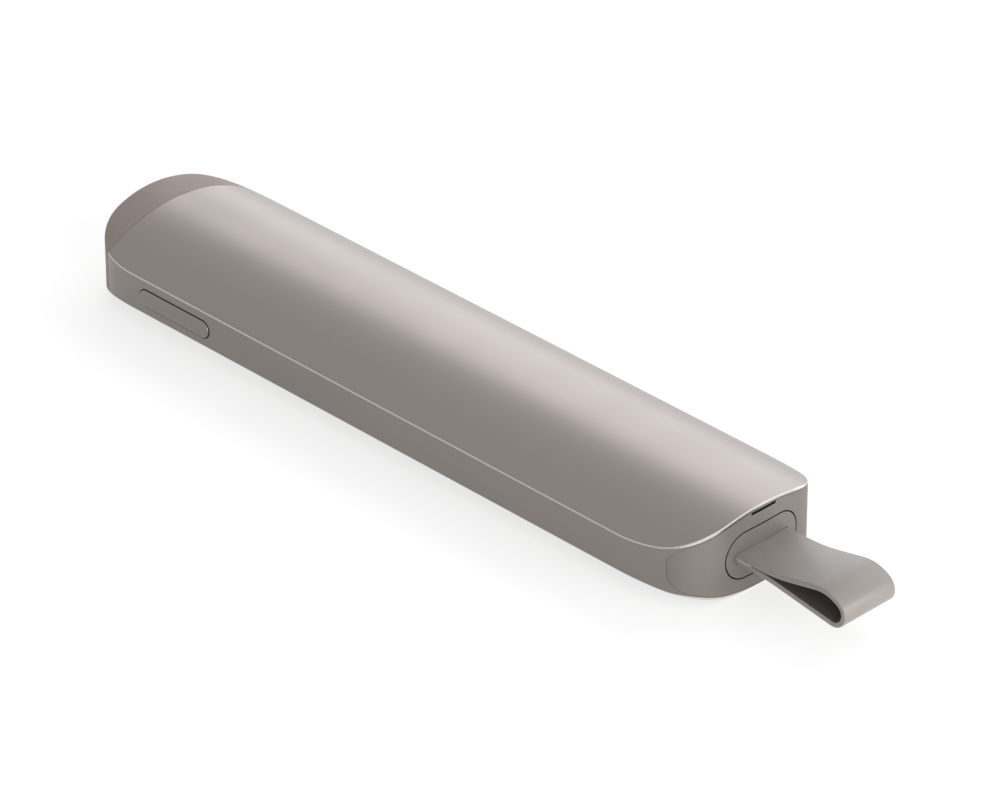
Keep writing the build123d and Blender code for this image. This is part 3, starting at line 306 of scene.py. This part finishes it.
def painted_tail(look):
    """Painted tail face on black plastic, which shows on the walls of its openings as painted shade that
    darkens the gaps round the receiver and the status light's slit.
    """
    finish = moulded("cap_plastic", tuple(look.cap), 0.55, look.grain)
    painted = finish.shader.inputs["Base Color"].links[0].from_socket
    geometry = finish.nodes.new("ShaderNodeNewGeometry")
    split = finish.nodes.new("ShaderNodeSeparateXYZ")
    finish.links.new(geometry.outputs["True Normal"], split.inputs["Vector"])
    wall = finish.math("LESS_THAN", split.outputs["X"], FRONT_LEAN)
    # Painted shade: the walls round the receiver and the slit are black, which darkens their gaps
    bare_shaded_walls = finish.math("MULTIPLY", wall, round_receiver(finish))
    finish.colour_from(finish.mix_colour(bare_shaded_walls, painted, tuple(look.bare_plastic_and_gap_shade)))
    flake = finish.math("MULTIPLY", finish.math("SUBTRACT", 1.0, bare_shaded_walls), TAIL_FLAKE)
    finish.links.new(flake, finish.shader.inputs["Metallic"])
    return finish.material


def anodised(name, look):
    """Satin bead-blasted, anodised metal."""
    finish = Finish(name, tuple(look.sleeve), look.sleeve_roughness, 1.0)
    finish.colour_from(finish.cloud_colour(22 * MM, 0.012))
    finish.roughness_from(finish.spread(finish.noise(9 * MM), look.sleeve_roughness - 0.015,
                                        look.sleeve_roughness + 0.015))
    return finish.bump(finish.noise(0.12 * MM, 2.0), 0.0012 * MM)


def depth_under_arc(finish, radius, centre_z):
    """How far a point lies inside a long round surface whose axis runs along X."""
    place = finish.nodes.new("ShaderNodeVectorMath")
    place.operation = "MULTIPLY_ADD"
    place.inputs[1].default_value = (0.0, 1.0, 1.0)
    place.inputs[2].default_value = (0.0, 0.0, -centre_z)
    finish.links.new(finish.coordinates, place.inputs[0])
    reach = finish.nodes.new("ShaderNodeVectorMath")
    reach.operation = "LENGTH"
    finish.links.new(place.outputs["Vector"], reach.inputs[0])
    return finish.math("SUBTRACT", radius, reach.outputs["Value"])


def mouth_highlight_mask(finish, form, normal, upright):
    """1 on the thin end of the sleeve above and below the tail cap, tapering to the sides as the end turns
    from the tail: where the mouth's painted highlight goes.
    """
    low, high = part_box("outer_shell")
    half = (high.y - low.y) / 2
    back_radius = (half**2 + form.back_rise**2) / (2 * form.back_rise)
    land = form.rest_land / 2
    face_centre = (half**2 + form.face_depth**2 - land**2) / (2 * form.face_depth)
    face_radius = sqrt(face_centre**2 + land**2)
    under_back = depth_under_arc(finish, back_radius, high.z - back_radius)
    over_face = depth_under_arc(finish, face_radius, low.z + face_centre)
    nearest = finish.math("MINIMUM", under_back, over_face)
    taper = finish.nodes.new("ShaderNodeMapRange")
    taper.inputs["From Min"].default_value = MOUTH_HIGHLIGHT_TURN[0]
    taper.inputs["From Max"].default_value = MOUTH_HIGHLIGHT_TURN[1]
    taper.inputs["To Max"].default_value = form.mouth_highlight_width
    to_side = finish.math("MULTIPLY", normal.outputs["Y"], MOUTH_HIGHLIGHT_SIDE)
    finish.links.new(finish.math("SUBTRACT", normal.outputs["X"], to_side), taper.inputs["Value"])
    thin = finish.math("LESS_THAN", nearest, taper.outputs["Result"])
    return finish.math("MULTIPLY", thin, upright)


def anodised_sleeve(look, form):
    """Satin anodised metal with polished cuts on the rims and round the mouth, painted lighter as a
    highlight, lightest where they face the tail.
    """
    finish = anodised("anodised_sleeve", look)
    blasted = finish.shader.inputs["Base Color"].links[0].from_socket
    satin = finish.shader.inputs["Roughness"].links[0].from_socket
    geometry = finish.nodes.new("ShaderNodeNewGeometry")
    split = finish.nodes.new("ShaderNodeSeparateXYZ")
    finish.links.new(geometry.outputs["True Normal"], split.inputs["Vector"])
    slope = finish.math("ABSOLUTE", split.outputs["Z"], 0.0)
    upright = finish.math("LESS_THAN", slope, WALL_LEAN)
    steep = finish.math("LESS_THAN", slope, RIM_LEAN)
    rim = finish.math("MULTIPLY", steep, finish.math("SUBTRACT", 1.0, upright))
    cut_and_highlight = finish.math("MAXIMUM", rim, mouth_highlight_mask(finish, form, split, upright))
    # Painted highlight: the cuts' colour runs from the side cut to the near-white mouth cut as they turn to
    # face the tail
    tail_facing_highlight = finish.spread(split.outputs["X"], 0.0, 1.0)
    cut_highlight_colour = finish.mix_colour(tail_facing_highlight, tuple(look.side_cut_highlight), tuple(look.mouth_cut_highlight))
    finish.colour_from(finish.mix_colour(cut_and_highlight, blasted, cut_highlight_colour))
    finish.roughness_from(finish.math("SUBTRACT", satin, finish.math("MULTIPLY", cut_and_highlight, CUT_POLISH)))
    return finish.material


def plated_metal(name, base, roughness, streak=(6, 1, 1)):
    """Bright sheet metal with fine rolling lines."""
    finish = Finish(name, base, roughness, 1.0)
    finish.colour_from(finish.cloud_colour(5 * MM, 0.04))
    lines = finish.noise(0.3 * MM, 3.0, streak)
    finish.roughness_from(finish.spread(lines, roughness - 0.06, roughness + 0.08))
    return finish.bump(lines, 0.0015 * MM).material


def board_laminate():
    """Green solder mask, paler over its tracks."""
    finish = Finish("board_laminate", (0.015, 0.085, 0.05), 0.32)
    tracks = finish.nodes.new("ShaderNodeTexBrick")
    tracks.inputs["Scale"].default_value = 1 / (4 * MM)
    tracks.inputs["Mortar Size"].default_value = 0.06
    tracks.inputs["Color1"].default_value = (0.013, 0.075, 0.045, 1)
    tracks.inputs["Color2"].default_value = (0.015, 0.088, 0.052, 1)
    tracks.inputs["Mortar"].default_value = (0.03, 0.15, 0.09, 1)
    finish.links.new(finish.coordinates, tracks.inputs["Vector"])
    finish.colour_from(tracks.outputs["Color"])
    finish.roughness_from(finish.spread(finish.noise(2 * MM), 0.26, 0.4))
    return finish.bump(tracks.outputs["Fac"], 0.01 * MM).material


def elastomer(name, base, inner_shade, grain):
    """Smooth matte elastomer with a faint skin, darker as painted shade on the inner face that the
    attribute marks.
    """
    finish = Finish(name, base, 0.38)
    finish.set(Sheen_Weight=0.12, Sheen_Roughness=0.4, Specular_IOR_Level=0.35)
    side = finish.nodes.new("ShaderNodeAttribute")
    side.attribute_name = INNER_SHADE_LAYER
    inner = finish.math("GREATER_THAN", side.outputs["Fac"], 0.5)
    finish.colour_from(finish.mix_colour(inner, finish.cloud_colour(5 * MM, 0.03), inner_shade))
    finish.roughness_from(finish.spread(finish.noise(2.5 * MM), 0.34, 0.42))
    return finish.bump(finish.noise(grain, 3.0), 0.004 * MM).material


def smoked_window():
    """Dark polished window over the pointer light."""
    finish = Finish("smoked_window", (0.035, 0.018, 0.018), 0.08)
    finish.set(Coat_Weight=0.6, Coat_Roughness=0.03, Specular_IOR_Level=0.6)
    finish.colour_from(finish.cloud_colour(2 * MM, 0.08))
    return finish.roughness_from(finish.spread(finish.noise(1 * MM), 0.05, 0.11)).material


def light_guide():
    """Dark translucent bar that shows the status light."""
    finish = Finish("light_guide_plastic", (0.009, 0.008, 0.007), 0.4)
    finish.set(Specular_IOR_Level=0.2)
    finish.colour_from(finish.cloud_colour(1.5 * MM, 0.1))
    return finish.roughness_from(finish.spread(finish.noise(1 * MM), 0.35, 0.46)).material


def battery_foil():
    """Pouch cell foil, softly creased."""
    finish = Finish("battery_foil", (0.58, 0.59, 0.61), 0.34, 1.0)
    finish.colour_from(finish.cloud_colour(8 * MM, 0.03))
    finish.roughness_from(finish.spread(finish.noise(3 * MM), 0.28, 0.42))
    return finish.bump(finish.noise(4 * MM, 4.0), 0.06 * MM).material


def dress(material, *nodes):
    """Gives CAD nodes a material."""
    for name in nodes:
        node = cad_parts[name]
        node.data.materials.clear()
        node.data.materials.append(material)


# ---- wrist strap ----

def strap_section(bm, nose_x, axis_z, shape, width):
    """The upper end's rounded section, as a ring of edges across the band."""
    middle = (shape.thickness + shape.ply_gap) / 2
    grid = bmesh.ops.create_grid(bm, x_segments=1, y_segments=1, size=0.5)
    place = Matrix.Translation((nose_x, 0, axis_z + middle))
    turn = Euler((0, radians(90), 0)).to_matrix().to_4x4()
    scale = Matrix.Diagonal((shape.thickness, width, 1, 1))
    bmesh.ops.transform(bm, matrix=place @ turn @ scale, verts=grid["verts"])
    bmesh.ops.bevel(bm, geom=bm.verts[:], offset=shape.edge_radius, offset_type="OFFSET", segments=3,
                    profile=0.5, affect="VERTICES", material=-1)
    bmesh.ops.delete(bm, geom=bm.faces[:], context="FACES_ONLY")
    inner_z = min(vert.co.z for vert in bm.verts)
    # Marks the band's inner face, which gets a painted shade
    inner_shade = bm.verts.layers.float.new(INNER_SHADE_LAYER)
    for vert in bm.verts:
        vert[inner_shade] = float(vert.co.z < inner_z + shape.edge_radius / 10)
    return bm.edges[:]


def strap_bond(bm, nose_x, tail_x, axis_z, shape, width):
    """Fills the gap between the band's two ends, flush with their sides."""
    length = tail_x + shape.bond_reach - nose_x
    thickness = shape.ply_gap + 2 * shape.edge_radius
    place = Matrix.Translation((nose_x + length / 2, 0, axis_z))
    scale = Matrix.Diagonal((length, width, thickness, 1))
    bmesh.ops.create_cube(bm, size=1, matrix=place @ scale)


class Sweeper:
    """Carries a ring of edges along straight runs and arcs in the XZ plane."""

    def __init__(self, bm, ring, place, steps):
        self.bm = bm
        self.ring = ring
        self.place = Vector(place)
        self.heading = 0.0
        self.steps = steps

    def along(self):
        return Vector((cos(self.heading), 0, sin(self.heading)))

    def run(self, distance, segments=4):
        for _ in range(segments):
            step = self.along() * (distance / segments)
            grown = bmesh.ops.extrude_edge_only(self.bm, edges=self.ring)["geom"]
            bmesh.ops.translate(self.bm, verts=verts_of(grown), vec=step)
            self.ring = edges_of(grown)
            self.place += step

    def bend(self, radius, turn):
        """Turns up for a positive angle and down for a negative one."""
        side = 1 if turn > 0 else -1
        up = Vector((-sin(self.heading), 0, cos(self.heading)))
        centre = self.place + up * (radius * side)
        steps = max(4, round(self.steps * abs(turn) / radians(90)))
        geometry = bmesh.ops.spin(self.bm, geom=self.ring, cent=centre, axis=(0, -1, 0), angle=turn,
                                  steps=steps, use_merge=False, use_duplicate=False)
        self.ring = edges_of(geometry["geom_last"])
        rotation = Matrix.Rotation(turn, 3, Vector((0, -1, 0)))
        self.place = centre + rotation @ (self.place - centre)
        self.heading += turn


def strap_band(shape):
    """The whole band as a closed tube, from the upper end round the loop to the lower one."""
    low, high = STRAP_BOX
    width = high.y - low.y
    nose_x = low.x
    tail_x = RECEIVER_BOX[1].x
    axis_z = strap_axis()
    offset = (shape.thickness + shape.ply_gap) / 2
    bm = bmesh.new()
    ring = strap_section(bm, nose_x, axis_z, shape, width)
    sweep = Sweeper(bm, ring, (nose_x, 0, axis_z + offset), shape.steps)
    sweep.run(tail_x + shape.straight - nose_x, 6)
    sweep.bend(shape.rise_radius, shape.rise_angle)
    sweep.run(shape.rise_run)
    sweep.bend(shape.crown_radius, -shape.rise_angle - shape.crown_angle)
    sweep.bend(shape.tip_radius, shape.crown_angle - radians(180) - shape.return_angle)
    level = axis_z - offset
    drop = level - sweep.place.z - shape.return_radius * (1 - cos(shape.return_angle))
    sweep.run(drop / sin(shape.return_angle))
    sweep.bend(shape.return_radius, shape.return_angle)
    sweep.run(sweep.place.x - nose_x, 8)
    bmesh.ops.holes_fill(bm, edges=bm.edges[:], sides=0)
    strap_bond(bm, nose_x, tail_x, axis_z, shape, width)
    bmesh.ops.recalc_face_normals(bm, faces=bm.faces[:])
    return bm


def strap_axis():
    """The height at which the band's two ends lie together."""
    pin_low, pin_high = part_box("strap_pin")
    return (pin_low.z + pin_high.z) / 2


# ---- operators ----

class CLICKER_OT_casing(Operator):
    """Finishes the sleeve, the caps, the pointer's window and the status light"""

    bl_idname = "clicker.casing"
    bl_label = "Finish casing"

    def execute(self, context):
        look = context.scene.clicker_finish
        dress(anodised_sleeve(look, context.scene.clicker_sleeve), "outer_shell")
        dress(moulded("nose_paint", tuple(look.nose), 0.7, look.grain, metallic=NOSE_FLAKE).material,
              "nose_cap")
        dress(painted_tail(look), *TAIL_NODES)
        dress(smoked_window(), "laser_window")
        dress(light_guide(), "status_light_guide")
        return {"FINISHED"}


class CLICKER_OT_buttons(Operator):
    """Finishes the side button and the three buttons of the lower face"""

    bl_idname = "clicker.buttons"
    bl_label = "Finish buttons"

    def execute(self, context):
        look = context.scene.clicker_finish
        dress(anodised("anodised_button", look).material, "side_button")
        dress(moulded("button_plastic", tuple(look.button), 0.42, look.grain).material, *FACE_BUTTON_NODES)
        return {"FINISHED"}


class CLICKER_OT_inside(Operator):
    """Finishes the frame, the board and everything else inside the sleeve"""

    bl_idname = "clicker.inside"
    bl_label = "Finish inside"

    def execute(self, context):
        look = context.scene.clicker_finish
        black = moulded("inner_plastic", tuple(look.bare_plastic_and_gap_shade), 0.55, look.grain)
        dress(black.material, *BLACK_PLASTIC_NODES)
        dress(board_laminate(), *BOARD_NODES)
        dress(plated_metal("plated_steel", (0.48, 0.48, 0.50), 0.32), *PLATED_NODES)
        dress(plated_metal("switch_steel", (0.50, 0.50, 0.52), 0.3), *SWITCH_NODES)
        dress(plated_metal("turned_brass", (0.72, 0.53, 0.26), 0.26, (1, 6, 6)), "laser_module")
        dress(plated_metal("gold_contacts", (0.80, 0.58, 0.25), 0.2), "usb_contacts")
        dress(moulded("chip_resin", (0.025, 0.025, 0.028), 0.55, 0.1 * MM).material, "radio_chip")
        dress(moulded("ceramic_block", (0.62, 0.58, 0.50), 0.25, 0.1 * MM).material, "chip_antenna")
        dress(moulded("led_resin", (0.75, 0.75, 0.68), 0.18, 0.1 * MM).material, "status_led")
        dress(moulded("flex_film", (0.34, 0.13, 0.02), 0.3, 0.4 * MM).material, "tail_flex")
        dress(moulded("foam_tape", (0.03, 0.03, 0.03), 0.9, 0.15 * MM, 0.02 * MM).material, "battery_pad")
        dress(battery_foil(), "battery")
        return {"FINISHED"}


class CLICKER_OT_strap(Operator):
    """Makes the wrist strap, one band folded into a loop"""

    bl_idname = "clicker.strap"
    bl_label = "Make wrist strap"

    def execute(self, context):
        look = context.scene.clicker_finish
        rubber = elastomer("strap_elastomer", tuple(look.strap), tuple(look.strap_inner_shade), look.grain)
        strap = new_piece("strap_band", strap_band(context.scene.clicker_strap), rubber, "receiver")
        strap.data.shade_smooth()
        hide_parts("wrist_strap")
        return {"FINISHED"}


class CLICKER_OT_studio(Operator):
    """Makes the pale floor, the soft lights and the camera"""

    bl_idname = "clicker.studio"
    bl_label = "Make studio"

    def execute(self, context):
        settings = context.scene.clicker_studio
        make_camera(settings)
        make_floor(settings)
        make_world(settings)
        for softbox in SOFTBOXES:
            make_softbox(*softbox)
        context.scene.view_settings.view_transform = "Standard"
        return {"FINISHED"}


# ---- studio ----

# Where the camera's move to the right and the top starts from
AIM = Vector((0.235, 0, 2.6)) * MM

# Name, place, aim, width, height, brightness against white
SOFTBOXES = (
    ("far_softbox", (-0.15, 0.40, 0.16), (-0.15, 0.0, 0.16), 0.6, 0.3, 1.5),
    ("high_softbox", (-0.35, 0.40, 0.42), (-0.35, 0.0, 0.42), 1.0, 0.22, 2.1),
    ("tail_softbox", (0.65, -0.20, 0.14), (0.06, 0.0, 0.01), 0.7, 0.3, 4.8),
    ("strap_softbox", (0.65, 0.27, 0.16), (0.08, 0.0, 0.01), 0.4, 0.3, 4.8),
)


def direction(azimuth, elevation):
    """Towards a place seen at an angle round the clicker, as the camera's angles are given."""
    return Vector((sin(azimuth) * cos(elevation), -cos(azimuth) * cos(elevation), sin(elevation)))


def make_camera(settings):
    back = direction(settings.azimuth, settings.elevation)
    right = Vector((cos(settings.azimuth), sin(settings.azimuth), 0))
    up = back.cross(right)
    camera = bpy.data.objects.new("camera", bpy.data.cameras.new("camera"))
    bpy.context.scene.collection.objects.link(camera)
    camera.location = AIM + back * settings.distance + right * settings.pan + up * settings.tilt
    camera.rotation_euler = Matrix((right, up, back)).transposed().to_euler()
    camera.data.lens = settings.lens
    camera.data.sensor_width = 36.0
    camera.data.clip_start = 0.01
    camera.data.clip_end = 20.0
    bpy.context.scene.camera = camera


def seen_straight(nodes, links):
    """1 for rays from the camera, off gloss or through glass, and 0 for the light on the clicker."""
    path = nodes.new("ShaderNodeLightPath")
    highest = path.outputs["Is Camera Ray"]
    for name in ("Is Glossy Ray", "Is Transmission Ray"):
        node = nodes.new("ShaderNodeMath")
        node.operation = "MAXIMUM"
        links.new(highest, node.inputs[0])
        links.new(path.outputs[name], node.inputs[1])
        highest = node.outputs[0]
    return highest


def make_floor(settings):
    """A pale floor that shows white, with the clicker's soft shadow on it."""
    bm = bmesh.new()
    bmesh.ops.create_grid(bm, x_segments=1, y_segments=1, size=FLOOR_REACH)
    material = bpy.data.materials.new("studio_floor")
    material.use_nodes = True
    nodes, links = material.node_tree.nodes, material.node_tree.links
    nodes.clear()
    plain = nodes.new("ShaderNodeBsdfDiffuse")
    plain.inputs["Color"].default_value = (*settings.floor, 1.0)
    shadowed = nodes.new("ShaderNodeBsdfDiffuse")
    shadowed.inputs["Color"].default_value = (SHADOW_GREY, SHADOW_GREY, SHADOW_GREY, 1.0)
    glow = nodes.new("ShaderNodeEmission")
    glow.inputs["Strength"].default_value = FLOOR_GLOW
    both = nodes.new("ShaderNodeAddShader")
    links.new(shadowed.outputs[0], both.inputs[0])
    links.new(glow.outputs[0], both.inputs[1])
    mix = nodes.new("ShaderNodeMixShader")
    links.new(seen_straight(nodes, links), mix.inputs["Fac"])
    links.new(plain.outputs[0], mix.inputs[1])
    links.new(both.outputs[0], mix.inputs[2])
    output = nodes.new("ShaderNodeOutputMaterial")
    links.new(mix.outputs[0], output.inputs["Surface"])
    new_piece("studio_floor", bm, material)


def make_world(settings):
    """Even light from all round, which shows white behind the clicker."""
    world = bpy.data.worlds.new("studio_world")
    bpy.context.scene.world = world
    world.use_nodes = True
    nodes, links = world.node_tree.nodes, world.node_tree.links
    background = nodes["Background"]
    background.inputs["Color"].default_value = (1.0, 1.0, 1.0, 1.0)
    strength = nodes.new("ShaderNodeMapRange")
    strength.inputs["To Min"].default_value = settings.world
    strength.inputs["To Max"].default_value = 1.0
    links.new(seen_straight(nodes, links), strength.inputs["Value"])
    links.new(strength.outputs["Result"], background.inputs["Strength"])


def make_softbox(name, place, aim, width, height, brightness):
    """A soft area lamp turned to its aim; brightness is what its face shows against white."""
    lamp = bpy.data.lights.new(name, "AREA")
    lamp.shape = "RECTANGLE"
    lamp.size = width
    lamp.size_y = height
    lamp.energy = brightness * width * height * pi
    softbox = bpy.data.objects.new(name, lamp)
    bpy.context.scene.collection.objects.link(softbox)
    softbox.location = place
    softbox.rotation_euler = (Vector(place) - Vector(aim)).to_track_quat("Z", "Y").to_euler()


class CLICKER_PT_panel(Panel):
    """Lists the clicker's steps and values"""

    bl_idname = "CLICKER_PT_panel"
    bl_label = "Clicker"
    bl_space_type = "VIEW_3D"
    bl_region_type = "UI"
    bl_category = "Clicker"

    def draw(self, context):
        column = self.layout.column()
        for step in OPERATORS:
            column.operator(step.bl_idname)
        for name in GROUPS:
            group = getattr(context.scene, name)
            for value in group.bl_rna.properties:
                if value.identifier not in ("rna_type", "name"):
                    column.prop(group, value.identifier)


GROUPS = {"clicker_finish": ClickerFinish, "clicker_sleeve": SleeveForm, "clicker_strap": StrapShape,
          "clicker_studio": StudioSettings}
OPERATORS = (CLICKER_OT_studio, CLICKER_OT_casing, CLICKER_OT_buttons, CLICKER_OT_inside, CLICKER_OT_strap)


def register():
    for one in (*GROUPS.values(), *OPERATORS, CLICKER_PT_panel):
        bpy.utils.register_class(one)
    for name, group in GROUPS.items():
        setattr(bpy.types.Scene, name, PointerProperty(type=group))


def unregister():
    for name in GROUPS:
        delattr(bpy.types.Scene, name)
    for one in reversed((*GROUPS.values(), *OPERATORS, CLICKER_PT_panel)):
        bpy.utils.unregister_class(one)


def main():
    register()
    for step in OPERATORS:
        category, name = step.bl_idname.split(".")
        getattr(getattr(bpy.ops, category), name)()


if __name__ == "__main__":
    main()
